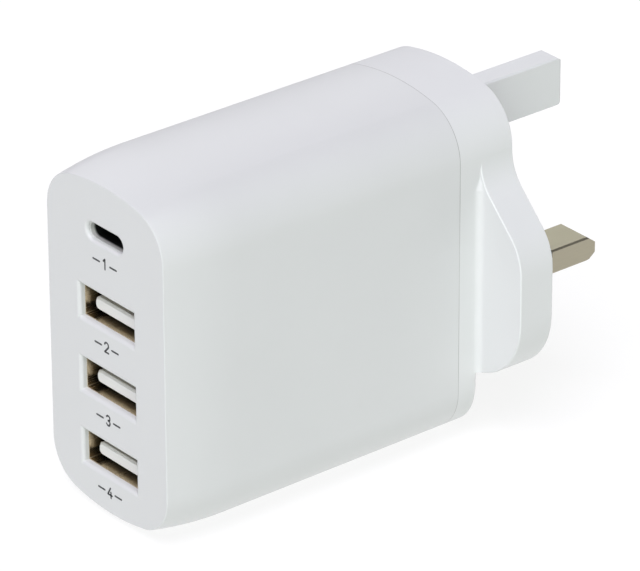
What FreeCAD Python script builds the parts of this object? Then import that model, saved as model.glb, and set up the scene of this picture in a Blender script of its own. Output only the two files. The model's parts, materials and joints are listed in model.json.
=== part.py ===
import FreeCAD, Part
import math
import os

# Wall charger with three USB-A sockets, one USB-C socket and a three-pin plug.
# The origin is on the plug face, midway between the live and the neutral pin.
# +X is to the right as seen from the port face, +Y points into the wall and +Z is up. Millimetres.

V = FreeCAD.Vector

# Lengths closer than this are taken as equal
SAME = 1e-4

# Case
BODY_WIDTH = 30.0
BODY_HEIGHT = 55.8
BODY_MID_Z = 3.4
CORNER_RADIUS = 8.25
CROWN_RADIUS = 39.25
PORT_FACE_DEPTH = 64.4
TAPER_LENGTH = 12.0
TAPER_INSET = 1.25
CASE_WALL = 2.0
PORT_WALL = 2.2
PORT_EDGE_BREAK = 0.1
REAR_EDGE_BREAK = 0.6
SEAM_DEPTH = 10.2
SEAM_BREAK = 0.06
LIP_LENGTH = 3.0
LIP_WALL = 1.2
FIT = 0.1

# Plug base and its two side lobes
BASE_DEPTH = 6.3
BASE_FLOOR = 5.0
LOBE_WIDTH = 48.8
BASE_BOTTOM_Z = -15.35
BASE_BOTTOM_CROWN = 54.0
LOBE_BOTTOM_RADIUS = 11.4
LOBE_SIDE_TOP_Z = 6.0
SHOULDER_RADIUS = 8.3
NECK_RADIUS = 7.5
NECK_SLOPE_DEG = 45.0
ROOT_FILLET = 1.1
ROOT_FADE_START = 4.7
ROOT_FADE_END = 2.7
ROOT_FADE_RADIUS = 0.1
LOBE_EDGE_BREAK = 0.15

# Plug pins
PIN_SPACING = 22.23
POWER_PIN_WIDTH = 6.35
POWER_PIN_HEIGHT = 4.0
POWER_PIN_LENGTH = 17.7
EARTH_PIN_Z = 22.23
EARTH_PIN_WIDTH = 4.0
EARTH_PIN_HEIGHT = 8.0
EARTH_PIN_LENGTH = 21.05
PIN_ROOT = 3.5
PIN_ANCHOR = 1.5
POWER_TIP_BEVEL = (1.8, 1.35)
EARTH_TIP_BEVEL = (0.86, 0.64)
TIP_CORNER_RADIUS = 0.5
PIN_EDGE_BREAK = 0.25
PIN_FIT = 0.05
SLEEVE_LENGTH = 8.8
SLEEVE_WALL = 0.6
TAIL_WIDTH = 3.0
TAIL_HEIGHT = 1.5
TAIL_END_DEPTH = 8.0
TAIL_WALL_GAP = 0.6

# Socket openings in the port face
PORT_PITCH = 12.0
PORT_COLUMN_LIFT = 0.1
USB_A_COUNT = 3

# USB-A sockets
A_PORT_LIP = 1.1
A_HOLE_MARGIN = 0.15
A_MOUTH_ROUND = 0.6
A_INNER_WIDTH = 12.5
A_INNER_HEIGHT = 5.12
A_SHELL_WALL = 0.3
A_SHELL_CORNER = 0.6
A_TONGUE_WIDTH = 11.1
A_TONGUE_THICKNESS = 2.15
A_TONGUE_LOW_GAP = 0.75
A_TONGUE_ROUND = 0.9
A_TONGUE_NOSE = 0.3
A_TONGUE_RECESS = 1.1
A_CONTACT_WIDTH = 1.0
A_CONTACT_OFFSETS = (-3.5, -1.0, 1.0, 3.5)
CONTACT_SETBACK = 1.0

# USB-C socket
C_PORT_LIFT = 0.38
C_PORT_LIP = 0.7
C_HOLE_MARGIN = 0.05
C_MOUTH_ROUND = 0.5
C_INNER_WIDTH = 8.34
C_INNER_HEIGHT = 2.56
C_SHELL_WALL = 0.3
C_TONGUE_WIDTH = 6.69
C_TONGUE_THICKNESS = 0.7
C_TONGUE_CORNER = 0.6
C_TONGUE_RECESS = 2.2
C_CONTACT_WIDTH = 0.25
C_CONTACT_PITCH = 0.5
C_CONTACT_COUNT = 12

# Shared by all sockets
SOCKET_LENGTH = 12.0
SOCKET_BLOCK = 3.5
BLOCK_FIT = 0.1
CONTACT_THICKNESS = 0.15

# Circuit boards
BOARD_THICKNESS = 1.6
BOARD_GAP = 0.25
SHEET_THICKNESS = 0.3
SOLDER_GAP = 1.2
RAIL_GRIP = 1.2
RAIL_WALL = 1.5
BOARD_REAR_GAP = 0.5
STRIP_THICKNESS = 0.4
STRIP_WIDTH = 3.0
STRIP_FOOT = 2.0
LIVE_STRIP_Z = 3.0
NEUTRAL_STRIP_Z = -4.0

# Parts on the power board: X is the height above the board, Y runs along the case
PART_GAP = 0.8
FILTER_CAP_SIZE = (10.0, 5.0, 10.0)
CHOKE_WIDTH = 8.0
CHOKE_HEIGHT = 10.0
CHOKE_LEG = 2.2
CHOKE_DEPTH = 2.6
CHOKE_WIRE = 1.0
FUSE_SIZE = (7.0, 4.0, 8.0)
SURGE_DIAMETER = 6.0
SURGE_THICKNESS = 3.5
INPUT_CAN_DIAMETER = 8.0
INPUT_CAN_HEIGHT = 16.0
CAN_RIM = 0.6
BRIDGE_SIZE = (2.5, 6.5, 5.0)
SINK_THICKNESS = 1.5
SINK_WIDTH = 8.0
SINK_HEIGHT = 13.0
TRANSISTOR_SIZE = (9.0, 6.6, 2.3)
CORE_WIDTH = 15.0
CORE_HEIGHT = 15.0
CORE_DEPTH = 5.0
CORE_LEG = 2.5
CENTRE_LEG = 5.0
BOBBIN_WALL = 0.5
BOBBIN_FIT = 0.1
BOBBIN_FLANGE = 0.6
WINDING_DEPTH = 10.4
OUTPUT_CAN_DIAMETER = 5.0
OUTPUT_CAN_HEIGHT = 9.0
COIL_SIZE = (3.0, 5.0, 5.0)
OPTO_SIZE = (3.5, 4.4, 4.6)
RECTIFIER_SIZE = (1.2, 6.5, 4.6)
SPREADER_THICKNESS = 1.0
BRIDGING_DIAMETER = 5.0
BRIDGING_THICKNESS = 3.0
CHIP_SIZE = (4.0, 1.0, 5.0)
CHIP_X = 5.0

# Places that follow from the sizes above
PORT_FACE_Y = -PORT_FACE_DEPTH
TAPER_START_Y = PORT_FACE_Y + TAPER_LENGTH
TAPER_RADIUS = (TAPER_LENGTH ** 2 + TAPER_INSET ** 2) / (2 * TAPER_INSET)
COVER_INSET = CASE_WALL + FIT + LIP_WALL
A_FRONT_Y = PORT_FACE_Y + A_PORT_LIP
C_FRONT_Y = PORT_FACE_Y + C_PORT_LIP
SOCKET_REAR_Y = A_FRONT_Y + SOCKET_LENGTH
PORT_BOARD_REAR_Y = SOCKET_REAR_Y + BOARD_THICKNESS
BOARD_REAR_Y = -(SEAM_DEPTH + LIP_LENGTH + BOARD_REAR_GAP)
CAVITY_HALF_WIDTH = BODY_WIDTH / 2 - CASE_WALL
BOARD_BACK_X = -CAVITY_HALF_WIDTH + SHEET_THICKNESS + SOLDER_GAP
BOARD_X = BOARD_BACK_X + BOARD_THICKNESS
PORT_TOP_Z = BODY_MID_Z + PORT_COLUMN_LIFT + PORT_PITCH * USB_A_COUNT / 2
C_PORT_Z = PORT_TOP_Z + C_PORT_LIFT
A_PORT_Z = [PORT_TOP_Z - PORT_PITCH * (i + 1) for i in range(USB_A_COUNT)]
TAIL_X = BODY_WIDTH / 2 - COVER_INSET - TAIL_WALL_GAP - TAIL_WIDTH / 2
PIN_X = PIN_SPACING / 2


# Small helpers

def box(x0, x1, y0, y1, z0, z1):
    return Part.makeBox(x1 - x0, y1 - y0, z1 - z0, V(x0, y0, z0))


def centred_box(width, y0, y1, height, x=0.0, z=0.0):
    return box(x - width / 2, x + width / 2, y0, y1, z - height / 2, z + height / 2)


def prism(wire, length):
    return Part.Face(wire).extrude(V(0, length, 0))


def rounded_box(width, y0, y1, height, radius, x=0.0, z=0.0):
    solid = centred_box(width, y0, y1, height, x, z)
    return solid.makeFillet(radius, long_edges(solid))


def long_edges(shape):
    return [e for e in shape.Edges if e.BoundBox.YLength > shape.BoundBox.YLength / 2]


def edges_on_plane_y(shape, y, test=None):
    found = []
    for edge in shape.Edges:
        b = edge.BoundBox
        if abs(b.YMin - y) < SAME and abs(b.YMax - y) < SAME:
            if test is None or test(edge):
                found.append(edge)
    return found


def group(solids):
    return Part.makeCompound(solids)


def save(name, shape):
    shape.exportStep("parts/" + name + ".step")


# Case section: straight sides, round corners and crowned top and bottom

def corner_centre():
    x = BODY_WIDTH / 2 - CORNER_RADIUS
    crown_z = BODY_HEIGHT / 2 - CROWN_RADIUS
    return x, crown_z + math.sqrt((CROWN_RADIUS - CORNER_RADIUS) ** 2 - x ** 2)


def section_arcs():
    # Centre x, centre z, radius, first and last angle of each arc, from the top right round the section
    x, z = corner_centre()
    crown_z = BODY_HEIGHT / 2 - CROWN_RADIUS
    turn = math.degrees(math.atan2(z - crown_z, x))
    return [
        (x, z, CORNER_RADIUS, 0.0, turn),
        (0.0, crown_z, CROWN_RADIUS, turn, 180.0 - turn),
        (-x, z, CORNER_RADIUS, 180.0 - turn, 180.0),
        (-x, -z, CORNER_RADIUS, 180.0, 180.0 + turn),
        (0.0, -crown_z, CROWN_RADIUS, 180.0 + turn, 360.0 - turn),
        (x, -z, CORNER_RADIUS, 360.0 - turn, 360.0),
    ]


def arc_point(arc, angle, inset, y):
    x, z, radius = arc[:3]
    a = math.radians(angle)
    return V(x + (radius - inset) * math.cos(a), y, BODY_MID_Z + z + (radius - inset) * math.sin(a))


def section_edges(inset, y):
    edges = []
    for arc in section_arcs():
        first, last = arc[3:]
        ends = [arc_point(arc, angle, inset, y) for angle in (first, (first + last) / 2, last)]
        edges.append(Part.Arc(*ends).toShape())
    return edges + [Part.LineSegment(p, q).toShape() for p, q in section_sides(inset, y)]


def section_sides(inset, y):
    half_width = BODY_WIDTH / 2 - inset
    z = corner_centre()[1]
    low = BODY_MID_Z - z
    high = BODY_MID_Z + z
    right = (V(half_width, y, low), V(half_width, y, high))
    left = (V(-half_width, y, high), V(-half_width, y, low))
    return [right, left]


def section_wire(inset, y):
    return Part.Wire(Part.__sortEdges__(section_edges(inset, y)))


def section_half_height(x, inset):
    # Half the height of the inset section, straight above a place in its rounded corner
    centre_x, centre_z = corner_centre()
    return centre_z + math.sqrt((CORNER_RADIUS - inset) ** 2 - (abs(x) - centre_x) ** 2)


def taper_inset(y):
    run = max(0.0, TAPER_START_Y - y)
    return TAPER_RADIUS - math.sqrt(TAPER_RADIUS ** 2 - run ** 2)


def taper_profile(points, curved):
    curve = Part.Arc(*points) if curved else Part.LineSegment(points[0], points[-1])
    return curve.toShape()


def taper_bands(inset, front_y, curved):
    # The gentle arc that draws the section in towards the port face, swept round the section
    places = (TAPER_START_Y, (TAPER_START_Y + front_y) / 2, front_y)
    bands = []
    for arc in section_arcs():
        first, last = arc[3:]
        profile = taper_profile([arc_point(arc, first, inset + taper_inset(y), y) for y in places], curved)
        bands.append(profile.revolve(V(arc[0], 0, BODY_MID_Z + arc[1]), V(0, -1, 0), last - first))
    for side in (0, 1):
        ends = [section_sides(inset + taper_inset(y), y)[side] for y in places]
        profile = taper_profile([end[0] for end in ends], curved)
        bands.append(profile.extrude(ends[0][1] - ends[0][0]))
    return bands


def case_solid(inset, front_y, rear_y, curved=True):
    length = V(0, rear_y - TAPER_START_Y, 0)
    walls = [edge.extrude(length) for edge in section_edges(inset, TAPER_START_Y)]
    front = Part.Face(section_wire(inset + taper_inset(front_y), front_y))
    rear = Part.Face(section_wire(inset, rear_y))
    shell = Part.makeCompound(walls + taper_bands(inset, front_y, curved) + [front, rear])
    shell.sewShape()
    solid = Part.Solid(shell.Shells[0])
    if solid.Volume < 0:
        solid.reverse()
    return solid


# Body shell

def obround(width, height, y0, y1, z):
    half = width / 2 - height / 2
    top = z + height / 2
    low = z - height / 2
    edges = [
        Part.LineSegment(V(-half, y0, low), V(half, y0, low)),
        Part.Arc(V(half, y0, low), V(width / 2, y0, z), V(half, y0, top)),
        Part.LineSegment(V(half, y0, top), V(-half, y0, top)),
        Part.Arc(V(-half, y0, top), V(-width / 2, y0, z), V(-half, y0, low)),
    ]
    return prism(Part.Wire([e.toShape() for e in edges]), y1 - y0)


def a_outer():
    return A_INNER_WIDTH + 2 * A_SHELL_WALL, A_INNER_HEIGHT + 2 * A_SHELL_WALL


def c_outer():
    return C_INNER_WIDTH + 2 * C_SHELL_WALL, C_INNER_HEIGHT + 2 * C_SHELL_WALL


def flare_profile(half, spread):
    # Half widths across a mouth that flares out in a quarter round, as (width, y) from the hole to the face
    middle = spread * (1 - math.sqrt(0.5))
    return [(half, PORT_FACE_Y + spread), (half + middle, PORT_FACE_Y + middle), (half + spread, PORT_FACE_Y)]


def flare_wire(profile, point):
    right = [point(w, y) for w, y in profile]
    left = [point(-w, y) for w, y in profile]
    edges = [
        Part.Arc(*right),
        Part.LineSegment(right[2], left[2]),
        Part.Arc(left[2], left[1], left[0]),
        Part.LineSegment(left[0], right[0]),
    ]
    return Part.Wire([e.toShape() for e in edges])


def flared_mouth(width, height, spread, z):
    # The flare across and the flare up and down meet in mitred corners
    reach = width + height
    across = flare_wire(flare_profile(width / 2, spread), lambda w, y: V(w, y, z - reach / 2))
    upright = flare_wire(flare_profile(height / 2, spread), lambda w, y: V(-reach / 2, y, z + w))
    return Part.Face(across).extrude(V(0, 0, reach)).common(Part.Face(upright).extrude(V(reach, 0, 0)))


def cut_c_port(shell):
    hole_width = C_INNER_WIDTH + 2 * C_HOLE_MARGIN
    hole_height = C_INNER_HEIGHT + 2 * C_HOLE_MARGIN

    def on_mouth(edge):
        b = edge.BoundBox
        return b.XMin > -hole_width and b.XMax < hole_width and abs(b.Center.z - C_PORT_Z) < hole_height

    shell = shell.cut(obround(hole_width, hole_height, PORT_FACE_Y, C_FRONT_Y, C_PORT_Z))
    shell = shell.makeFillet(C_MOUTH_ROUND, edges_on_plane_y(shell, PORT_FACE_Y, on_mouth))
    width, height = c_outer()
    return shell.cut(obround(width + 2 * FIT, height + 2 * FIT, C_FRONT_Y, PORT_FACE_Y + PORT_WALL, C_PORT_Z))


def cut_a_ports(shell):
    hole_width = A_INNER_WIDTH + 2 * A_HOLE_MARGIN
    hole_height = A_INNER_HEIGHT + 2 * A_HOLE_MARGIN
    width, height = a_outer()
    cuts = []
    for z in A_PORT_Z:
        cuts.append(flared_mouth(hole_width, hole_height, A_MOUTH_ROUND, z))
        cuts.append(centred_box(hole_width, PORT_FACE_Y, A_FRONT_Y, hole_height, z=z))
        cuts.append(centred_box(width + 2 * FIT, A_FRONT_Y, PORT_FACE_Y + PORT_WALL, height + 2 * FIT, z=z))
    return shell.cut(cuts)


def board_half_height():
    return section_half_height(BOARD_BACK_X, CASE_WALL) - BOARD_GAP


def board_rails(cavity):
    # A slotted rail above and below takes the long edges of the power board
    half = board_half_height()
    rails = []
    for side in (1, -1):
        near = BODY_MID_Z + side * (half - RAIL_GRIP)
        far = BODY_MID_Z + side * BODY_HEIGHT / 2
        block = box(-CAVITY_HALF_WIDTH, BOARD_X + RAIL_WALL, PORT_BOARD_REAR_Y + BOARD_GAP, BOARD_REAR_Y,
                    min(near, far), max(near, far))
        slot = box(BOARD_BACK_X - FIT, BOARD_X + FIT, PORT_BOARD_REAR_Y, BOARD_REAR_Y,
                   BODY_MID_Z - half - FIT, BODY_MID_Z + half + FIT)
        rails.append(block.common(cavity).cut(slot))
    return rails


def make_body_shell():
    outer = case_solid(0.0, PORT_FACE_Y, -SEAM_DEPTH)
    outer = outer.makeChamfer(PORT_EDGE_BREAK, edges_on_plane_y(outer, PORT_FACE_Y))
    outer = outer.makeChamfer(SEAM_BREAK, edges_on_plane_y(outer, -SEAM_DEPTH))
    cavity = case_solid(CASE_WALL, PORT_FACE_Y + PORT_WALL, -SEAM_DEPTH, curved=False)
    shell = cut_a_ports(cut_c_port(outer.cut(cavity)))
    return shell.fuse(board_rails(cavity))


# Rear cover with the plug base

def crown_point(turn):
    # Place on the crowned bottom of the plug base, at an angle from its middle
    return V(BASE_BOTTOM_CROWN * math.sin(turn), 0,
             BASE_BOTTOM_Z + BASE_BOTTOM_CROWN * (1 - math.cos(turn)))


def lobe_corner():
    # Centre of a lobe's bottom corner, and the angle at which it runs into the crowned bottom
    x = LOBE_WIDTH / 2 - LOBE_BOTTOM_RADIUS
    drop = math.sqrt((BASE_BOTTOM_CROWN - LOBE_BOTTOM_RADIUS) ** 2 - x ** 2)
    return x, BASE_BOTTOM_Z + BASE_BOTTOM_CROWN - drop, math.atan2(x, drop)


def base_bottom_at_case_side():
    x = BODY_WIDTH / 2
    corner_x, corner_z, turn = lobe_corner()
    if x < crown_point(turn).x:
        return crown_point(math.asin(x / BASE_BOTTOM_CROWN)).z
    return corner_z - math.sqrt(LOBE_BOTTOM_RADIUS ** 2 - (x - corner_x) ** 2)


def lobe_half():
    # Right half of the plug base below the neck, from the bottom round the shoulder to the case side
    side = LOBE_WIDTH / 2
    case_side = BODY_WIDTH / 2
    slope = math.radians(NECK_SLOPE_DEG)
    half_turn = slope / 2
    shoulder_x = side - SHOULDER_RADIUS
    shoulder_end = V(shoulder_x + SHOULDER_RADIUS * math.cos(slope), 0,
                     LOBE_SIDE_TOP_Z + SHOULDER_RADIUS * math.sin(slope))
    neck_start_x = case_side + NECK_RADIUS * (1 - math.cos(slope))
    neck_start = V(neck_start_x, 0, shoulder_end.z + (shoulder_end.x - neck_start_x) / math.tan(slope))
    neck_z = neck_start.z + NECK_RADIUS * math.sin(slope)
    neck_mid = V(case_side + NECK_RADIUS * (1 - math.cos(half_turn)), 0,
                 neck_z - NECK_RADIUS * math.sin(half_turn))
    shoulder_mid = V(shoulder_x + SHOULDER_RADIUS * math.cos(half_turn), 0,
                     LOBE_SIDE_TOP_Z + SHOULDER_RADIUS * math.sin(half_turn))
    low_x, low_z, turn = lobe_corner()
    corner_turn = (math.pi / 2 - turn) / 2
    corner_mid = V(low_x + LOBE_BOTTOM_RADIUS * math.cos(corner_turn), 0,
                   low_z - LOBE_BOTTOM_RADIUS * math.sin(corner_turn))
    crown_end = crown_point(turn)
    edges = [
        Part.Arc(crown_point(0.0), crown_point(turn / 2), crown_end),
        Part.Arc(crown_end, corner_mid, V(side, 0, low_z)),
        Part.LineSegment(V(side, 0, low_z), V(side, 0, LOBE_SIDE_TOP_Z)),
        Part.Arc(V(side, 0, LOBE_SIDE_TOP_Z), shoulder_mid, shoulder_end),
        Part.LineSegment(shoulder_end, neck_start),
        Part.Arc(neck_start, neck_mid, V(case_side, 0, neck_z)),
        Part.LineSegment(V(case_side, 0, neck_z), V(0, 0, neck_z)),
        Part.LineSegment(V(0, 0, neck_z), crown_point(0.0)),
    ]
    return Part.Wire([e.toShape() for e in edges]), neck_z


def root_section(radius, z):
    # Corner between the case side and the lobe, filled to a concave arc
    x = BODY_WIDTH / 2
    y = -BASE_DEPTH
    arc_mid = radius * (1 - math.sqrt(0.5))
    edges = [
        Part.LineSegment(V(x, y, z), V(x + radius, y, z)),
        Part.Arc(V(x + radius, y, z), V(x + arc_mid, y - arc_mid, z), V(x, y - radius, z)),
        Part.LineSegment(V(x, y - radius, z), V(x, y, z)),
    ]
    return Part.Wire([e.toShape() for e in edges])


def lobe_root(wire, neck_z):
    # The fillet keeps its radius up the lobe, ends flush with its bottom and fades out below the neck
    full_z = neck_z - ROOT_FADE_START
    low = Part.Face(root_section(ROOT_FILLET, BASE_BOTTOM_Z)).extrude(V(0, 0, full_z - BASE_BOTTOM_Z))
    fade_wires = [root_section(ROOT_FILLET, full_z), root_section(ROOT_FADE_RADIUS, neck_z - ROOT_FADE_END)]
    root = low.fuse(Part.makeLoft(fade_wires, True, True))
    return root.common(prism(wire, -(BASE_DEPTH + ROOT_FILLET)))


def mirrored(solid):
    return solid.mirror(V(0, 0, 0), V(1, 0, 0))


def make_rear_cover():
    wire, neck_z = lobe_half()
    lobe = prism(wire, -BASE_DEPTH)

    def on_lobe_rim(edge):
        inside = edge.BoundBox.XMax < SAME or abs(edge.BoundBox.ZMin - neck_z) < SAME
        return not inside

    lobe = lobe.makeChamfer(LOBE_EDGE_BREAK, edges_on_plane_y(lobe, -BASE_DEPTH, on_lobe_rim))
    root = lobe_root(wire, neck_z)
    rim = prism(section_wire(0.0, -SEAM_DEPTH), SEAM_DEPTH - BASE_DEPTH)
    rim = rim.makeChamfer(REAR_EDGE_BREAK, edges_on_plane_y(rim, -BASE_DEPTH))
    low_z = base_bottom_at_case_side()
    low_case = box(-BODY_WIDTH, BODY_WIDTH, -BASE_DEPTH - REAR_EDGE_BREAK, 0, -BODY_HEIGHT, low_z)
    upper = prism(section_wire(0.0, -SEAM_DEPTH), SEAM_DEPTH).cut(low_case)
    lobes = lobe.fuse(mirrored(lobe))
    outer = rim.fuse([upper, lobes]).removeSplitter()
    outer = outer.makeChamfer(LOBE_EDGE_BREAK, edges_on_plane_y(outer, 0.0))
    outer = outer.makeChamfer(SEAM_BREAK, edges_on_plane_y(outer, -SEAM_DEPTH))
    outer = outer.fuse([root, mirrored(root)]).removeSplitter()
    lip = prism(section_wire(CASE_WALL + FIT, -SEAM_DEPTH - LIP_LENGTH), LIP_LENGTH)
    cavity = prism(section_wire(COVER_INSET, -SEAM_DEPTH - LIP_LENGTH), LIP_LENGTH + SEAM_DEPTH - BASE_FLOOR)
    low_floor = box(-BODY_WIDTH, BODY_WIDTH, -BASE_DEPTH - CASE_WALL, 0, -BODY_HEIGHT, low_z + CASE_WALL)
    return outer.fuse(lip).cut(cavity.cut(low_floor)).cut(pin_holes()).removeSplitter()


# Plug pins

def pin_holes():
    root_y = -PIN_ROOT
    holes = [centred_box(EARTH_PIN_WIDTH + 2 * PIN_FIT, root_y, 0, EARTH_PIN_HEIGHT + 2 * PIN_FIT,
                         z=EARTH_PIN_Z)]
    for side in (1, -1):
        holes.append(centred_box(POWER_PIN_WIDTH + 2 * PIN_FIT, root_y, 0, POWER_PIN_HEIGHT + 2 * PIN_FIT,
                                 x=side * PIN_X))
        holes.append(centred_box(TAIL_WIDTH + 2 * PIN_FIT, -TAIL_END_DEPTH, root_y, TAIL_HEIGHT + 2 * PIN_FIT,
                                 x=side * TAIL_X))
    return holes


def bevelled_end(width, y0, y1, height, bevel, x, z):
    # Side view of a bar that is bevelled above and below at its far end, drawn out to its width
    length, depth = bevel
    half = height / 2
    side_view = [(y0, -half), (y1 - length, -half), (y1, depth - half),
                 (y1, half - depth), (y1 - length, half), (y0, half)]
    points = [V(x - width / 2, y, z + up) for y, up in side_view]
    bar = Part.Face(Part.makePolygon(points + points[:1])).extrude(V(width, 0, 0))
    across = [e for e in edges_on_plane_y(bar, y1) if e.BoundBox.XLength > width / 2]
    return bar.makeFillet(TIP_CORNER_RADIUS, across)


def blunt_bar(width, y0, y1, height, bevel, x=0.0, z=0.0):
    # A bar along Y with broken long edges, bevelled at its far end and rounded there as seen from above
    bar = centred_box(width, y0, y1, height, x, z)
    upright = [e for e in edges_on_plane_y(bar, y1) if e.BoundBox.ZLength > height / 2]
    broken = bar.makeChamfer(PIN_EDGE_BREAK, long_edges(bar))
    rounded = bar.makeFillet(TIP_CORNER_RADIUS, upright)
    return broken.common(rounded).common(bevelled_end(width, y0, y1, height, bevel, x, z))


def make_power_pin(side):
    x = side * PIN_X
    core_width = POWER_PIN_WIDTH - 2 * SLEEVE_WALL
    core_height = POWER_PIN_HEIGHT - 2 * SLEEVE_WALL
    tip = blunt_bar(POWER_PIN_WIDTH, SLEEVE_LENGTH, POWER_PIN_LENGTH, POWER_PIN_HEIGHT, POWER_TIP_BEVEL, x=x)
    core = centred_box(core_width, -PIN_ROOT, SLEEVE_LENGTH, core_height, x=x)
    anchor = centred_box(POWER_PIN_WIDTH, -PIN_ROOT, PIN_ANCHOR - PIN_ROOT, POWER_PIN_HEIGHT, x=x)
    tail = centred_box(TAIL_WIDTH, -TAIL_END_DEPTH, -PIN_ROOT, TAIL_HEIGHT, x=side * TAIL_X)
    return tip.fuse([core, anchor, tail]).removeSplitter()


def make_sleeve(side):
    x = side * PIN_X
    start = PIN_ANCHOR - PIN_ROOT
    outer = centred_box(POWER_PIN_WIDTH, start, SLEEVE_LENGTH, POWER_PIN_HEIGHT, x=x)
    outer = outer.makeChamfer(PIN_EDGE_BREAK, long_edges(outer))
    inner = centred_box(POWER_PIN_WIDTH - 2 * SLEEVE_WALL, start, SLEEVE_LENGTH,
                        POWER_PIN_HEIGHT - 2 * SLEEVE_WALL, x=x)
    return outer.cut(inner)


def make_earth_pin():
    return blunt_bar(EARTH_PIN_WIDTH, -PIN_ROOT, EARTH_PIN_LENGTH, EARTH_PIN_HEIGHT, EARTH_TIP_BEVEL,
                     z=EARTH_PIN_Z)


def make_contact_strip(side, strip_z):
    # A pad on the end of the pin's tail, a run across the case and a foot on the power board
    pad_y = -TAIL_END_DEPTH - STRIP_THICKNESS
    tail_near = side * TAIL_X - TAIL_WIDTH / 2
    tail_far = side * TAIL_X + TAIL_WIDTH / 2
    pad_low = min(-TAIL_HEIGHT / 2, strip_z)
    pad_high = max(TAIL_HEIGHT / 2, strip_z + STRIP_WIDTH)
    pad = box(tail_near, tail_far, pad_y, -TAIL_END_DEPTH, pad_low, pad_high)
    run = box(BOARD_X, tail_far, pad_y, -TAIL_END_DEPTH, strip_z, strip_z + STRIP_WIDTH)
    foot = box(BOARD_X, BOARD_X + STRIP_THICKNESS, BOARD_REAR_Y - STRIP_FOOT, -TAIL_END_DEPTH,
               strip_z, strip_z + STRIP_WIDTH)
    return pad.fuse([run, foot]).removeSplitter()


# USB sockets

def make_a_shell(z):
    width, height = a_outer()
    outer = rounded_box(width, A_FRONT_Y, SOCKET_REAR_Y, height, A_SHELL_CORNER, z=z)
    inner = rounded_box(A_INNER_WIDTH, A_FRONT_Y, SOCKET_REAR_Y, A_INNER_HEIGHT,
                        A_SHELL_CORNER - A_SHELL_WALL, z=z)
    return outer.cut(inner)


def a_tongue_top(z):
    return z - A_INNER_HEIGHT / 2 + A_TONGUE_LOW_GAP + A_TONGUE_THICKNESS


def make_a_tongue(z):
    front = A_FRONT_Y + A_TONGUE_RECESS
    block_front = SOCKET_REAR_Y - SOCKET_BLOCK
    middle = a_tongue_top(z) - A_TONGUE_THICKNESS / 2
    tongue = rounded_box(A_TONGUE_WIDTH, front, block_front, A_TONGUE_THICKNESS, A_TONGUE_ROUND, z=middle)
    tongue = tongue.makeChamfer(A_TONGUE_NOSE, edges_on_plane_y(tongue, front))
    block = centred_box(A_INNER_WIDTH - 2 * BLOCK_FIT, block_front, SOCKET_REAR_Y,
                        A_INNER_HEIGHT - 2 * BLOCK_FIT, z=z)
    return tongue.fuse(block).removeSplitter()


def make_a_contacts(z):
    front = A_FRONT_Y + A_TONGUE_RECESS + CONTACT_SETBACK
    top = a_tongue_top(z)
    return group([box(x - A_CONTACT_WIDTH / 2, x + A_CONTACT_WIDTH / 2, front, SOCKET_REAR_Y - SOCKET_BLOCK,
                      top, top + CONTACT_THICKNESS) for x in A_CONTACT_OFFSETS])


def make_c_shell(z):
    width, height = c_outer()
    outer = obround(width, height, C_FRONT_Y, SOCKET_REAR_Y, z)
    return outer.cut(obround(C_INNER_WIDTH, C_INNER_HEIGHT, C_FRONT_Y, SOCKET_REAR_Y, z))


def make_c_tongue(z):
    front = C_FRONT_Y + C_TONGUE_RECESS
    block_front = SOCKET_REAR_Y - SOCKET_BLOCK
    tongue = centred_box(C_TONGUE_WIDTH, front, block_front, C_TONGUE_THICKNESS, z=z)
    corners = [e for e in tongue.Edges
               if abs(e.BoundBox.YMax - front) < SAME and e.BoundBox.ZLength > C_TONGUE_THICKNESS / 2]
    tongue = tongue.makeFillet(C_TONGUE_CORNER, corners)
    block = obround(C_INNER_WIDTH - 2 * BLOCK_FIT, C_INNER_HEIGHT - 2 * BLOCK_FIT,
                    block_front, SOCKET_REAR_Y, z)
    return tongue.fuse(block).removeSplitter()


def make_c_contacts(z):
    front = C_FRONT_Y + C_TONGUE_RECESS + CONTACT_SETBACK
    back = SOCKET_REAR_Y - SOCKET_BLOCK
    first = -C_CONTACT_PITCH * (C_CONTACT_COUNT - 1) / 2
    offset = (C_TONGUE_THICKNESS + CONTACT_THICKNESS) / 2
    return group([centred_box(C_CONTACT_WIDTH, front, back, CONTACT_THICKNESS,
                              x=first + C_CONTACT_PITCH * i, z=z + side * offset)
                  for side in (1, -1) for i in range(C_CONTACT_COUNT)])


# Circuit boards and the insulating sheet

def make_port_board():
    return prism(section_wire(CASE_WALL + BOARD_GAP, SOCKET_REAR_Y), BOARD_THICKNESS)


def make_power_board():
    half = board_half_height()
    return box(BOARD_BACK_X, BOARD_X, PORT_BOARD_REAR_Y, BOARD_REAR_Y, BODY_MID_Z - half, BODY_MID_Z + half)


def make_insulating_sheet():
    flat_half = corner_centre()[1]
    return box(-CAVITY_HALF_WIDTH, -CAVITY_HALF_WIDTH + SHEET_THICKNESS, PORT_BOARD_REAR_Y, BOARD_REAR_Y,
               BODY_MID_Z - flat_half, BODY_MID_Z + flat_half)


def make_port_chips():
    width, thickness, height = CHIP_SIZE
    return group([centred_box(width, PORT_BOARD_REAR_Y, PORT_BOARD_REAR_Y + thickness, height, x=CHIP_X, z=z)
                  for z in A_PORT_Z])


# Parts on the power board, laid out in three columns from the mains end to the ports

def stacked(heights):
    # Centres of pieces stacked from the top of a column that is centred on the board
    total = sum(heights) + PART_GAP * (len(heights) - 1)
    top = BODY_MID_Z + total / 2
    centres = []
    for height in heights:
        centres.append(top - height / 2)
        top -= height + PART_GAP
    return centres


def on_board(size, y, z):
    height, length, width = size
    return box(BOARD_X, BOARD_X + height, y - length / 2, y + length / 2, z - width / 2, z + width / 2)


def can(diameter, height, y, z):
    return Part.makeCylinder(diameter / 2, height, V(BOARD_X, y, z), V(1, 0, 0))


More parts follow.
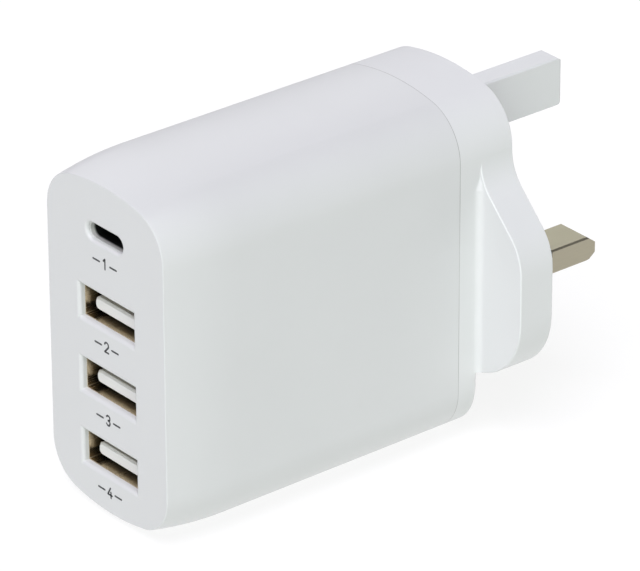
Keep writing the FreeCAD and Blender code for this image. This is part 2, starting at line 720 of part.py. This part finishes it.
def crimped_can(diameter, height, y, z):
    solid = can(diameter, height, y, z)
    top = [e for e in solid.Edges if abs(e.BoundBox.XMin - BOARD_X - height) < SAME]
    return solid.makeChamfer(CAN_RIM, top)


def disc(diameter, thickness, y, z):
    start = V(BOARD_X + diameter / 2, y - thickness / 2, z)
    return Part.makeCylinder(diameter / 2, thickness, start, V(0, 1, 0))


def make_choke(y, z):
    # A closed ferrite loop that stands on the board, with a coil round each upright leg
    window_width = CHOKE_WIDTH - 2 * CHOKE_LEG
    leg_x0 = BOARD_X + CHOKE_LEG
    leg_x1 = BOARD_X + CHOKE_HEIGHT - CHOKE_LEG
    loop = on_board((CHOKE_HEIGHT, CHOKE_DEPTH, CHOKE_WIDTH), y, z)
    core = loop.cut(box(leg_x0, leg_x1, y - CHOKE_DEPTH / 2, y + CHOKE_DEPTH / 2,
                        z - window_width / 2, z + window_width / 2))
    half_depth = CHOKE_DEPTH / 2 + CHOKE_WIRE
    half_coil = CHOKE_LEG / 2 + CHOKE_WIRE
    leg_offset = (CHOKE_WIDTH - CHOKE_LEG) / 2
    coils = [box(leg_x0, leg_x1, y - half_depth, y + half_depth,
                 z + side * leg_offset - half_coil, z + side * leg_offset + half_coil).cut(core)
             for side in (1, -1)]
    return core, group(coils)


def make_mains_parts(y):
    column = stacked([FILTER_CAP_SIZE[2], CHOKE_WIDTH + 2 * CHOKE_WIRE, FUSE_SIZE[2], SURGE_DIAMETER])
    core, winding = make_choke(y, column[1])
    save("filter_capacitor", on_board(FILTER_CAP_SIZE, y, column[0]))
    save("filter_choke_core", core)
    save("filter_choke_windings", winding)
    save("fuse", on_board(FUSE_SIZE, y, column[2]))
    save("surge_disc", disc(SURGE_DIAMETER, SURGE_THICKNESS, y, column[3]))


def make_primary_parts(y):
    column = stacked([INPUT_CAN_DIAMETER, INPUT_CAN_DIAMETER, BRIDGE_SIZE[2],
                      SINK_THICKNESS + TRANSISTOR_SIZE[2]])
    sink_z = column[3] + TRANSISTOR_SIZE[2] / 2
    transistor_z = sink_z - (SINK_THICKNESS + TRANSISTOR_SIZE[2]) / 2
    save("input_capacitors", group([crimped_can(INPUT_CAN_DIAMETER, INPUT_CAN_HEIGHT, y, z)
                                    for z in column[:2]]))
    save("bridge_rectifier", on_board(BRIDGE_SIZE, y, column[2]))
    save("switch_heat_sink", on_board((SINK_HEIGHT, SINK_WIDTH, SINK_THICKNESS), y, sink_z))
    save("switch_transistor", on_board(TRANSISTOR_SIZE, y, transistor_z))


def make_transformer(y, z):
    def slab(x0, x1, depth, width):
        return box(BOARD_X + x0, BOARD_X + x1, y - depth / 2, y + depth / 2, z - width / 2, z + width / 2)

    window_low = CORE_LEG
    window_high = CORE_HEIGHT - CORE_LEG
    window_width = CORE_WIDTH - 2 * CORE_LEG
    leg = slab(window_low, window_high, CORE_DEPTH, CENTRE_LEG)
    window = slab(window_low, window_high, CORE_DEPTH, window_width)
    core = slab(0, CORE_HEIGHT, CORE_DEPTH, CORE_WIDTH).cut(window).fuse(leg).removeSplitter()
    bobbin_low = window_low + BOBBIN_FIT
    bobbin_high = window_high - BOBBIN_FIT
    flange_width = window_width - 2 * BOBBIN_FIT
    tube_extra = 2 * (BOBBIN_FIT + BOBBIN_WALL)
    tube = slab(bobbin_low, bobbin_high, CORE_DEPTH + tube_extra, CENTRE_LEG + tube_extra)
    flange_depth = WINDING_DEPTH + tube_extra
    flanges = [slab(bobbin_low, bobbin_low + BOBBIN_FLANGE, flange_depth, flange_width),
               slab(bobbin_high - BOBBIN_FLANGE, bobbin_high, flange_depth, flange_width)]
    passage = slab(bobbin_low, bobbin_high, CORE_DEPTH + 2 * BOBBIN_FIT, CENTRE_LEG + 2 * BOBBIN_FIT)
    bobbin = tube.fuse(flanges).cut(passage).removeSplitter()
    winding = slab(bobbin_low + BOBBIN_FLANGE, bobbin_high - BOBBIN_FLANGE, WINDING_DEPTH,
                   flange_width - 2 * BOBBIN_FIT).cut(tube)
    return core, bobbin, winding


def make_output_parts(y_near):
    depth = WINDING_DEPTH + 2 * (BOBBIN_FIT + BOBBIN_WALL)
    y = y_near - depth / 2
    column = stacked([CORE_WIDTH, OUTPUT_CAN_DIAMETER, COIL_SIZE[2], RECTIFIER_SIZE[2]])
    core, bobbin, winding = make_transformer(y, column[0])
    save("transformer_core", core)
    save("transformer_bobbin", bobbin)
    save("transformer_winding", winding)
    can_step = (OUTPUT_CAN_DIAMETER + PART_GAP / 2) / 2
    output_cans = [can(OUTPUT_CAN_DIAMETER, OUTPUT_CAN_HEIGHT, y + side * can_step, column[1])
                   for side in (1, -1)]
    save("output_capacitors", group(output_cans))
    save("step_down_coil", on_board(COIL_SIZE, y - (PART_GAP + COIL_SIZE[1]) / 2, column[2]))
    save("optocoupler", on_board(OPTO_SIZE, y + (PART_GAP + OPTO_SIZE[1]) / 2, column[2]))
    rectifier_y = y - (PART_GAP + BRIDGING_THICKNESS) / 2
    bridging_y = rectifier_y + PART_GAP + (RECTIFIER_SIZE[1] + BRIDGING_THICKNESS) / 2
    save("output_rectifier", on_board(RECTIFIER_SIZE, rectifier_y, column[3]))
    spreader = on_board((SPREADER_THICKNESS, RECTIFIER_SIZE[1], RECTIFIER_SIZE[2]), rectifier_y, column[3])
    spreader.translate(V(RECTIFIER_SIZE[0], 0, 0))
    save("heat_spreader", spreader)
    save("bridging_capacitor", disc(BRIDGING_DIAMETER, BRIDGING_THICKNESS, bridging_y, column[3]))


def make_board_parts():
    y = BOARD_REAR_Y - STRIP_FOOT - PART_GAP
    mains_depth = max(FILTER_CAP_SIZE[1], CHOKE_DEPTH + 2 * CHOKE_WIRE, FUSE_SIZE[1], SURGE_THICKNESS)
    make_mains_parts(y - mains_depth / 2)
    y -= mains_depth + PART_GAP
    primary_depth = max(INPUT_CAN_DIAMETER, BRIDGE_SIZE[1], SINK_WIDTH, TRANSISTOR_SIZE[1])
    make_primary_parts(y - primary_depth / 2)
    y -= primary_depth + PART_GAP
    make_output_parts(y)


# Write every piece

def main():
    os.makedirs("parts", exist_ok=True)
    save("body_shell", make_body_shell())
    save("rear_cover", make_rear_cover())
    save("earth_pin", make_earth_pin())
    for name, side, strip_z in (("live", 1, LIVE_STRIP_Z), ("neutral", -1, NEUTRAL_STRIP_Z)):
        save(name + "_pin", make_power_pin(side))
        save(name + "_pin_sleeve", make_sleeve(side))
        save(name + "_contact_strip", make_contact_strip(side, strip_z))
    save("usb_c_shell", make_c_shell(C_PORT_Z))
    save("usb_c_tongue", make_c_tongue(C_PORT_Z))
    save("usb_c_contacts", make_c_contacts(C_PORT_Z))
    for i, z in enumerate(A_PORT_Z):
        name = "usb_a" + str(USB_A_COUNT - i)
        save(name + "_shell", make_a_shell(z))
        save(name + "_tongue", make_a_tongue(z))
        save(name + "_contacts", make_a_contacts(z))
    save("port_board", make_port_board())
    save("port_chips", make_port_chips())
    save("power_board", make_power_board())
    save("insulating_sheet", make_insulating_sheet())
    make_board_parts()


main()
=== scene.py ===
import json
import math

import bmesh
import bpy
from mathutils import Matrix, Vector


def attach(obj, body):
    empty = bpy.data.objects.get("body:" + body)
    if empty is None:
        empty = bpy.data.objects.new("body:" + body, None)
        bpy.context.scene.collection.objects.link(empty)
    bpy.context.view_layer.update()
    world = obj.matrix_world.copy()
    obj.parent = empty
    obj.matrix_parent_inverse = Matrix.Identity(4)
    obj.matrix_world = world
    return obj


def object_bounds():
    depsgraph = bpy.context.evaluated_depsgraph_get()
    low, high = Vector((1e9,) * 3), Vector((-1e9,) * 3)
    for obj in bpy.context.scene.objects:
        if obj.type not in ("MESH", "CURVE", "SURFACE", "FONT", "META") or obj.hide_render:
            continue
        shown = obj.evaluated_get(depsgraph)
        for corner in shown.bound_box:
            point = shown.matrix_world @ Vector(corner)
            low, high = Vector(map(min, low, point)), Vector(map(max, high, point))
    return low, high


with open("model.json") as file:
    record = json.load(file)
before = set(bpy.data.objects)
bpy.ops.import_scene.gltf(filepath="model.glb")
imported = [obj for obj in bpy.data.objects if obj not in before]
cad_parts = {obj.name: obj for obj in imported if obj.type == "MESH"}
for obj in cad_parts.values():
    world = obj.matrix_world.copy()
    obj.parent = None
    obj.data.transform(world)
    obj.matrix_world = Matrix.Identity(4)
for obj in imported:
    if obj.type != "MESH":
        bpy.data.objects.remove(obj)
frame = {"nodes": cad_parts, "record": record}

NODES = frame["nodes"]
CAD_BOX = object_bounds()
PORT_FACE_Y = CAD_BOX[0].y
FLOOR_Z = CAD_BOX[0].z
MM = 0.001

# Camera: the angle it looks from, its distance from the target, and its shift to the right and up
CAMERA_AZIMUTH = 50.935
CAMERA_ELEVATION = 26.975
CAMERA_ROLL = -0.224
CAMERA_DISTANCE = 815.393 * MM
CAMERA_TARGET = Vector((0, -31.2 * MM, 0))
CAMERA_RIGHT = 5.082 * MM
CAMERA_UP = 3.149 * MM
IMAGE_WIDTH = 640
FOCAL_PIXELS = 5500.0
SENSOR_MM = 36.0

# Nodes that look a little different from the rest of their material slot
OWN_LOOK = {"rear_cover": "cover_plastic", "usb_c_shell": "c_steel_painted_light_shade"}

# The span that holds most values of a noise
NOISE_SPAN = (0.3, 0.7)

# Plastic: the size of its slow drift of tone, its index of refraction and the relief of its moulded grain
DRIFT_SIZE = 14 * MM
PLASTIC_IOR = 1.49
GRAIN_STRENGTH = 0.4
GRAIN_DEPTH = 0.004 * MM

# Metal: the width of its streaks, how much darker they are, their relief and their stretch along Y
STREAK_SIZE = 0.25 * MM
STREAK_CHANGE = 0.08
STREAK_STRENGTH = 0.3
STREAK_DEPTH = 0.002 * MM
STREAK_STRETCH = (1, 0.04, 1)

# Depths behind the port face where the painted shade inside the sockets begins and where it is darkest
A_FADE = (0.8 * MM, 4.3 * MM)
C_FADE = (1.2 * MM, 1.7 * MM)

# Wound wire: the pitch, sheen and relief of its turns, the painted shade in the gaps between turns, and
# the width of a texture's wave at scale 1
WIRE_PITCH = 0.45 * MM
WIRE_METALLIC = 0.7
WIRE_ROUGHNESS = 0.3
WIRE_WAVER = 0.4
WIRE_GAP_SHADE = 0.4
WIRE_STRENGTH = 0.8
WIRE_DEPTH = WIRE_PITCH / 4
WAVE_BAND = 0.314

# Circuit board: the mesh of its tracks, the edge of a track as a share of the mesh, and its sheen
TRACK_MESH = 3 * MM
TRACK_EDGE = (0.06, 0.09)
BOARD_SHEEN_SIZE = 1 * MM
BOARD_ROUGHNESS = (0.25, 0.4)

# Port numbers: a plain numeral between two short bars under each socket, as thin ink on the port face
NUMBER_OF_PORT = {"usb_c": "1", "usb_a3": "2", "usb_a2": "3", "usb_a1": "4"}
NUMBER_UNIT = 1.0 * MM
NUMBER_MIDDLE = (0.5, 0.8)
NUMBER_DROP_C = 4.2 * MM
NUMBER_DROP_A = 5.3 * MM
BAR_LENGTH = 1.5 * MM
BAR_OFFSET = 2.0 * MM
STROKE_WIDTH = 0.3 * MM
BEND_STEPS = 14
CAP_STEPS = 6
INK_PROUD = 0.012 * MM
INK_SUNK = 0.008 * MM

# Seam: a bead of painted shade in the groove between the case and the rear cover, a dark line standing in
# for the groove's shadow
SEAM_BREAK = 0.06 * MM
SEAM_SUNK = 0.008 * MM
SEAM_CLEAR = 0.002 * MM
RIM_TOLERANCE = 0.002 * MM
RIM_DIGITS = 6

# Stage: a pale floor that glows enough to turn white, and no light from the surroundings
FLOOR_HALF = 3.0
FLOOR_COLOUR = (0.2, 0.2, 0.2)
FLOOR_ROUGHNESS = 0.9
FLOOR_SPECULAR = 0.1
FLOOR_GLOW = 0.81
WORLD_STRENGTH = 0.0

# Softboxes: azimuth from the port face towards +X, elevation, power in watts and colour
SOFTBOX_DISTANCE = 2.4
SOFTBOX_SIZE = 1.8
SOFTBOXES = {
    "key_softbox": (30, 61, 68.5, (0.94, 0.91, 1.0)),
    "fill_softbox": (56, 10, 33.0, (0.88, 1.0, 0.88)),
    "rim_softbox": (244, 30, 17.5, (0.97, 1.0, 0.98)),
    "back_softbox": (190, 10, 14.0, (1.0, 1.0, 1.0)),
}


# Helpers

def add_object(name, data):
    made = bpy.data.objects.new(name, data)
    bpy.context.scene.collection.objects.link(made)
    return made


def direction(azimuth, elevation):
    # Unit vector at an azimuth from the port face towards +X and an elevation, in degrees
    a = math.radians(azimuth)
    e = math.radians(elevation)
    return Vector((math.sin(a) * math.cos(e), -math.cos(a) * math.cos(e), math.sin(e)))


def node_box(name):
    node = NODES[name]
    corners = [node.matrix_world @ Vector(corner) for corner in node.bound_box]
    low = Vector([min(c[i] for c in corners) for i in range(3)])
    high = Vector([max(c[i] for c in corners) for i in range(3)])
    return low, high


# Shader helpers

def new_material(name):
    material = bpy.data.materials.new(name)
    material.use_nodes = True
    tree = material.node_tree
    shader = tree.nodes["Principled BSDF"]
    return material, tree, shader


def add_node(tree, kind, **settings):
    node = tree.nodes.new(kind)
    for key, value in settings.items():
        setattr(node, key, value)
    return node


def noise(tree, size, stretch=(1, 1, 1), detail=2.0):
    # Noise whose grain is about size metres across, drawn out along an axis with a small stretch
    place = add_node(tree, "ShaderNodeTexCoord")
    scale = add_node(tree, "ShaderNodeMapping")
    scale.inputs["Scale"].default_value = stretch
    texture = add_node(tree, "ShaderNodeTexNoise")
    texture.inputs["Scale"].default_value = 1.0 / size
    texture.inputs["Detail"].default_value = detail
    tree.links.new(place.outputs["Object"], scale.inputs["Vector"])
    tree.links.new(scale.outputs["Vector"], texture.inputs["Vector"])
    return texture.outputs["Fac"]


def tone(tree, factor, low, high, span=NOISE_SPAN):
    # Colour that goes from low to high over a span of the factor
    ramp = add_node(tree, "ShaderNodeValToRGB")
    for element, position, colour in zip(ramp.color_ramp.elements, span, (low, high)):
        element.position = position
        element.color = (*colour, 1)
    tree.links.new(factor, ramp.inputs["Fac"])
    return ramp.outputs["Color"]


def spread(tree, factor, low, high):
    # Number that goes from low to high over the noise
    ranger = add_node(tree, "ShaderNodeMapRange")
    ranger.inputs["From Min"].default_value = NOISE_SPAN[0]
    ranger.inputs["From Max"].default_value = NOISE_SPAN[1]
    ranger.inputs["To Min"].default_value = low
    ranger.inputs["To Max"].default_value = high
    tree.links.new(factor, ranger.inputs["Value"])
    return ranger.outputs["Result"]


def depth_share(tree, fade):
    # Smooth change from 0 to 1 between two depths behind the port face
    place = add_node(tree, "ShaderNodeTexCoord")
    axes = add_node(tree, "ShaderNodeSeparateXYZ")
    ranger = add_node(tree, "ShaderNodeMapRange", interpolation_type="SMOOTHSTEP")
    ranger.inputs["From Min"].default_value = PORT_FACE_Y + fade[0]
    ranger.inputs["From Max"].default_value = PORT_FACE_Y + fade[1]
    tree.links.new(place.outputs["Object"], axes.inputs["Vector"])
    tree.links.new(axes.outputs["Y"], ranger.inputs["Value"])
    return ranger.outputs["Result"]


def bump(tree, shader, height, strength, depth):
    node = add_node(tree, "ShaderNodeBump")
    node.inputs["Strength"].default_value = strength
    node.inputs["Distance"].default_value = depth
    tree.links.new(height, node.inputs["Height"])
    tree.links.new(node.outputs["Normal"], shader.inputs["Normal"])


def streaks(tree, shader, rough, stretch):
    # Fine streaks in the sheen and the relief of a metal
    lines = noise(tree, STREAK_SIZE, stretch, detail=4.0)
    tree.links.new(spread(tree, lines, *rough), shader.inputs["Roughness"])
    bump(tree, shader, lines, STREAK_STRENGTH, STREAK_DEPTH)
    return lines


def shade(colour, factor):
    return tuple(c * factor for c in colour)


# Materials

def plastic(name, colour, rough=(0.36, 0.44), change=0.015, grain=0.12 * MM):
    # Moulded plastic: a spark-eroded grain, a faint drift of tone and uneven sheen
    material, tree, shader = new_material(name)
    shader.inputs["IOR"].default_value = PLASTIC_IOR
    drift = noise(tree, DRIFT_SIZE)
    tree.links.new(tone(tree, drift, shade(colour, 1 - change), colour), shader.inputs["Base Color"])
    fine = noise(tree, grain, detail=3.0)
    tree.links.new(spread(tree, fine, *rough), shader.inputs["Roughness"])
    bump(tree, shader, fine, GRAIN_STRENGTH, GRAIN_DEPTH)
    return material


def metal(name, colour, rough=(0.22, 0.34), stretch=STREAK_STRETCH):
    # Rolled or plated metal with fine streaks along the piece
    material, tree, shader = new_material(name)
    shader.inputs["Metallic"].default_value = 1.0
    lines = streaks(tree, shader, rough, stretch)
    dark = shade(colour, 1 - STREAK_CHANGE)
    tree.links.new(tone(tree, lines, dark, colour), shader.inputs["Base Color"])
    return material


def painted_shade_socket_metal(name, mouth_colour, deep_colour, rough, fade, metallic=1.0):
    # Plated sheet whose colour darkens from the mouth of a socket inwards: painted shade in the recess of
    # the socket
    material, tree, shader = new_material(name)
    shader.inputs["Metallic"].default_value = metallic
    colour = tone(tree, depth_share(tree, fade), mouth_colour, deep_colour, span=(0, 1))
    tree.links.new(colour, shader.inputs["Base Color"])
    streaks(tree, shader, rough, STREAK_STRETCH)
    return material


def wound_wire(name, colour):
    # Enamelled wire laid turn by turn along the coil
    material, tree, shader = new_material(name)
    shader.inputs["Metallic"].default_value = WIRE_METALLIC
    shader.inputs["Roughness"].default_value = WIRE_ROUGHNESS
    place = add_node(tree, "ShaderNodeTexCoord")
    turns = add_node(tree, "ShaderNodeTexWave", wave_type="BANDS", bands_direction="X")
    turns.inputs["Scale"].default_value = WAVE_BAND / WIRE_PITCH
    turns.inputs["Distortion"].default_value = WIRE_WAVER
    tree.links.new(place.outputs["Object"], turns.inputs["Vector"])
    height = turns.outputs["Fac"]
    # The gaps between turns are painted darker: painted shade between the turns
    gap = shade(colour, WIRE_GAP_SHADE)
    tree.links.new(tone(tree, height, gap, colour), shader.inputs["Base Color"])
    bump(tree, shader, height, WIRE_STRENGTH, WIRE_DEPTH)
    return material


def circuit_board(name, mask, track):
    # Solder mask with copper tracks showing through as a lighter net
    material, tree, shader = new_material(name)
    place = add_node(tree, "ShaderNodeTexCoord")
    cells = add_node(tree, "ShaderNodeTexVoronoi", feature="DISTANCE_TO_EDGE", distance="MANHATTAN")
    cells.inputs["Scale"].default_value = 1 / TRACK_MESH
    tree.links.new(place.outputs["Object"], cells.inputs["Vector"])
    net = tone(tree, cells.outputs["Distance"], track, mask, span=TRACK_EDGE)
    tree.links.new(net, shader.inputs["Base Color"])
    sheen = spread(tree, noise(tree, BOARD_SHEEN_SIZE), *BOARD_ROUGHNESS)
    tree.links.new(sheen, shader.inputs["Roughness"])
    return material


def make_materials():
    return {
        "case_plastic": plastic("case_plastic", (0.62, 0.627, 0.627)),
        "cover_plastic": plastic("cover_plastic", (0.657, 0.665, 0.665), rough=(0.5, 0.58)),
        "earth_pin_plastic": plastic("earth_pin_plastic", (0.64, 0.65, 0.65), rough=(0.4, 0.5)),
        "plated_pin": metal("plated_pin", (0.44, 0.405, 0.31), rough=(0.42, 0.52)),
        "sleeve_plastic": plastic("sleeve_plastic", (0.02, 0.02, 0.02), rough=(0.4, 0.55), change=0.3),
        "contact_strip": metal("contact_strip", (0.75, 0.58, 0.3), stretch=(0.04, 1, 1)),
        # USB-A sockets: brownish plating at the mouth, darkened to near black further in by painted shade
        "socket_steel": painted_shade_socket_metal("socket_steel", (0.58, 0.48, 0.33), (0.05, 0.042, 0.03),
                                     rough=(0.2, 0.3), fade=A_FADE),
        # USB-C shell: near white at the mouth as painted light on its lit wall, near black further in as
        # painted shade
        "c_steel_painted_light_shade": painted_shade_socket_metal("c_steel_painted_light_shade", (0.95, 0.95, 0.93), (0.012, 0.012, 0.012),
                                      rough=(0.45, 0.55), fade=C_FADE, metallic=0.7),
        "white_tongue": plastic("white_tongue", (0.84, 0.84, 0.83), rough=(0.4, 0.5), grain=0.08 * MM),
        "black_tongue": plastic("black_tongue", (0.005, 0.005, 0.0055), rough=(0.5, 0.6), change=0.3),
        "gold_contact": metal("gold_contact", (0.85, 0.62, 0.26), rough=(0.15, 0.25)),
        "circuit_board": circuit_board("circuit_board", mask=(0.01, 0.09, 0.035), track=(0.03, 0.2, 0.07)),
        "ferrite": plastic("ferrite", (0.03, 0.03, 0.032), rough=(0.5, 0.7), change=0.4, grain=0.3 * MM),
        "copper_winding": wound_wire("copper_winding", (0.55, 0.2, 0.06)),
        "bobbin_plastic": plastic("bobbin_plastic", (0.02, 0.02, 0.02), change=0.3),
        "capacitor_can": plastic("capacitor_can", (0.015, 0.02, 0.05), rough=(0.25, 0.35), change=0.3),
        "ceramic_disc": plastic("ceramic_disc", (0.03, 0.12, 0.4), rough=(0.2, 0.3), change=0.2,
                                grain=0.5 * MM),
        "film_box": plastic("film_box", (0.6, 0.42, 0.05), rough=(0.25, 0.35), change=0.1),
        "black_epoxy": plastic("black_epoxy", (0.02, 0.02, 0.021), rough=(0.5, 0.65), change=0.3),
        "heat_sink": metal("heat_sink", (0.8, 0.8, 0.82), stretch=(0.05, 1, 1)),
        "insulating_film": plastic("insulating_film", (0.65, 0.63, 0.55), rough=(0.3, 0.4), change=0.05),
        "ink": plastic("ink", (0.04, 0.041, 0.045), rough=(0.45, 0.6), change=0.2, grain=0.05 * MM),
        # Painted shade for the seam groove: a grey whose tone drifts, so the dark line fades in places
        "seam_painted_shade": plastic("seam_painted_shade", (0.5, 0.5, 0.495), rough=(0.6, 0.7), change=0.4,
                             grain=0.05 * MM),
    }


def dress_solids(materials):
    slot_of = {row["node"]: row["material_slot"] for row in frame["record"]["subparts"]}
    for name, node in NODES.items():
        node.data.materials.clear()
        node.data.materials.append(materials[OWN_LOOK.get(name, slot_of[name])])


# Added pieces

def add_piece(name, bm, material):
    mesh = bpy.data.meshes.new(name)
    bm.to_mesh(mesh)
    bm.free()
    mesh.materials.append(material)
    piece = add_object(name, mesh)
    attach(piece, "root")


# Port numbers

def bend(x, y, radius, first, last):
    turns = [math.radians(first + (last - first) * i / BEND_STEPS) for i in range(BEND_STEPS + 1)]
    return [(x + radius * math.cos(turn), y + radius * math.sin(turn)) for turn in turns]


def numeral_strokes(mark):
    # Pen strokes of a numeral in a box 1 wide and 1.6 high
    return {
        "1": [[(0.2, 1.25), (0.56, 1.6)], [(0.56, 1.6), (0.56, 0.0)]],
        "2": [bend(0.5, 1.14, 0.46, 165, -30) + [(0.05, 0.0)], [(0.05, 0.0), (0.95, 0.0)]],
        "3": [bend(0.46, 1.19, 0.41, 150, -85), bend(0.46, 0.43, 0.43, 85, -150)],
        "4": [[(0.62, 1.6), (0.0, 0.46)], [(0.0, 0.46), (1.0, 0.46)], [(0.72, 0.95), (0.72, 0.0)]],
    }[mark]


def round_end(tip, along):
    # Half circle round the end of a stroke, from its left to its right, without the first and last point
    start = math.atan2(along.y, along.x) + math.pi / 2
    turns = [start - math.pi * i / CAP_STEPS for i in range(1, CAP_STEPS)]
    return [tip + STROKE_WIDTH / 2 * Vector((math.cos(turn), math.sin(turn))) for turn in turns]


def stroke_sides(points):
    # Left and right edge of a stroke, mitred where it turns, and its far and near end
    runs = [(b - a).normalized() for a, b in zip(points, points[1:])]
    left = []
    right = []
    for place, before, after in zip(points, runs[:1] + runs, runs + runs[-1:]):
        along = (before + after).normalized()
        across = Vector((-along.y, along.x)) * STROKE_WIDTH / 2 / along.dot(before)
        left.append(place + across)
        right.append(place - across)
    return left, right, round_end(points[-1], runs[-1]), round_end(points[0], -runs[0])


def add_stroke(bm, points):
    # A flat stroke of ink in the XY plane, with round ends
    half = (INK_PROUD + INK_SUNK) / 2
    layers = []
    for z in (half, -half):
        layers.append([[bm.verts.new((p.x, p.y, z)) for p in side] for side in stroke_sides(points)])
    for (left, right, far_end, near_end), flip in zip(layers, (False, True)):
        faces = [[left[-1], *far_end, right[-1]], [right[0], *near_end, left[0]]]
        faces += [[left[i], left[i + 1], right[i + 1], right[i]] for i in range(len(points) - 1)]
        for face in faces:
            bm.faces.new(face if flip else face[::-1])
    top, low = [left + far_end + right[::-1] + near_end for left, right, far_end, near_end in layers]
    for i in range(len(top)):
        bm.faces.new((top[i - 1], top[i], low[i], low[i - 1]))


def number_points(stroke):
    middle_x, middle_y = NUMBER_MIDDLE
    return [Vector((x - middle_x, y - middle_y)) * NUMBER_UNIT for x, y in stroke]


def make_port_numbers(ink):
    for port, mark in NUMBER_OF_PORT.items():
        low, high = node_box(port + "_shell")
        drop = NUMBER_DROP_C if port == "usb_c" else NUMBER_DROP_A
        middle = (low + high) / 2
        place = Vector((middle.x, PORT_FACE_Y + (INK_SUNK - INK_PROUD) / 2, middle.z - drop))
        bm = bmesh.new()
        for stroke in numeral_strokes(mark):
            add_stroke(bm, number_points(stroke))
        for side in (1, -1):
            ends = [BAR_OFFSET - BAR_LENGTH / 2, BAR_OFFSET + BAR_LENGTH / 2]
            add_stroke(bm, [Vector((side * x, 0)) for x in ends])
        bm.transform(Matrix.Translation(place) @ Matrix.Rotation(math.pi / 2, 4, "X"))
        add_piece("port_number_" + mark, bm, ink)


# Seam

def seam_outline(rim_y):
    # Points round the case at the edge of the groove, in the XZ plane, in order
    node = NODES["body_shell"]
    rim = set()
    for vertex in node.data.vertices:
        place = node.matrix_world @ vertex.co
        if abs(place.y - rim_y) < RIM_TOLERANCE:
            rim.add((round(place.x, RIM_DIGITS), round(place.z, RIM_DIGITS)))
    middle = sum((Vector(point) for point in rim), Vector((0, 0))) / len(rim)
    return [Vector(p) for p in sorted(rim, key=lambda p: math.atan2(p[1] - middle.y, p[0] - middle.x))]


def make_seam(seam_shade):
    # A three-sided bead of painted shade that fills the groove to just below the surface
    seam_y = node_box("body_shell")[1].y
    outline = seam_outline(seam_y - SEAM_BREAK)
    deep = SEAM_BREAK - SEAM_CLEAR
    half = SEAM_BREAK - SEAM_SUNK - SEAM_CLEAR
    section = ((SEAM_SUNK, -half), (SEAM_SUNK, half), (deep, 0.0))
    bm = bmesh.new()
    rings = []
    for i, point in enumerate(outline):
        along = (outline[(i + 1) % len(outline)] - outline[i - 1]).normalized()
        inward = Vector((-along.y, along.x))
        ring = []
        for inset, shift in section:
            place = point + inward * inset
            ring.append(bm.verts.new((place.x, seam_y + shift, place.y)))
        rings.append(ring)
    for before, after in zip(rings[-1:] + rings, rings):
        for k in range(len(section)):
            bm.faces.new((before[k - 1], before[k], after[k], after[k - 1]))
    bmesh.ops.recalc_face_normals(bm, faces=bm.faces)
    add_piece("seam_painted_shade", bm, seam_shade)


# Stage, light and camera

def make_floor():
    mesh = bpy.data.meshes.new("floor")
    h = FLOOR_HALF
    corners = [(-h, -h, FLOOR_Z), (h, -h, FLOOR_Z), (h, h, FLOOR_Z), (-h, h, FLOOR_Z)]
    mesh.from_pydata(corners, [], [(0, 1, 2, 3)])
    material, _, shader = new_material("floor")
    shader.inputs["Base Color"].default_value = (*FLOOR_COLOUR, 1)
    shader.inputs["Roughness"].default_value = FLOOR_ROUGHNESS
    shader.inputs["Specular IOR Level"].default_value = FLOOR_SPECULAR
    shader.inputs["Emission Color"].default_value = (1, 1, 1, 1)
    shader.inputs["Emission Strength"].default_value = FLOOR_GLOW
    mesh.materials.append(material)
    floor = add_object("floor", mesh)


def make_softbox(name, azimuth, elevation, power, colour):
    # A square area light that looks at the middle of the object
    centre = (CAD_BOX[0] + CAD_BOX[1]) / 2
    back = direction(azimuth, elevation)
    light = bpy.data.lights.new(name, "AREA")
    light.shape = "SQUARE"
    light.size = SOFTBOX_SIZE
    light.energy = power
    light.color = colour
    lamp = add_object(name, light)
    lamp.location = centre + back * SOFTBOX_DISTANCE
    lamp.rotation_euler = back.to_track_quat("Z", "Y").to_euler()


def make_lights():
    for name, settings in SOFTBOXES.items():
        make_softbox(name, *settings)
    world = bpy.data.worlds.new("studio")
    world.use_nodes = True
    world.node_tree.nodes["Background"].inputs["Strength"].default_value = WORLD_STRENGTH
    bpy.context.scene.world = world


def make_camera():
    back = direction(CAMERA_AZIMUTH, CAMERA_ELEVATION)
    level_right = direction(CAMERA_AZIMUTH + 90, 0)
    level_up = back.cross(level_right)
    roll = math.radians(CAMERA_ROLL)
    right = level_right * math.cos(roll) + level_up * math.sin(roll)
    up = level_up * math.cos(roll) - level_right * math.sin(roll)
    place = CAMERA_TARGET + back * CAMERA_DISTANCE + right * CAMERA_RIGHT + up * CAMERA_UP
    data = bpy.data.cameras.new("camera")
    data.sensor_width = SENSOR_MM
    data.lens = SENSOR_MM * FOCAL_PIXELS / IMAGE_WIDTH
    camera = add_object("camera", data)
    turn = Matrix((right, up, back)).transposed()
    camera.matrix_world = Matrix.Translation(place) @ turn.to_4x4()
    bpy.context.scene.camera = camera


materials = make_materials()
dress_solids(materials)
make_port_numbers(materials["ink"])
make_seam(materials["seam_painted_shade"])
make_floor()
make_lights()
make_camera()
bpy.context.scene.view_settings.view_transform = "Standard"
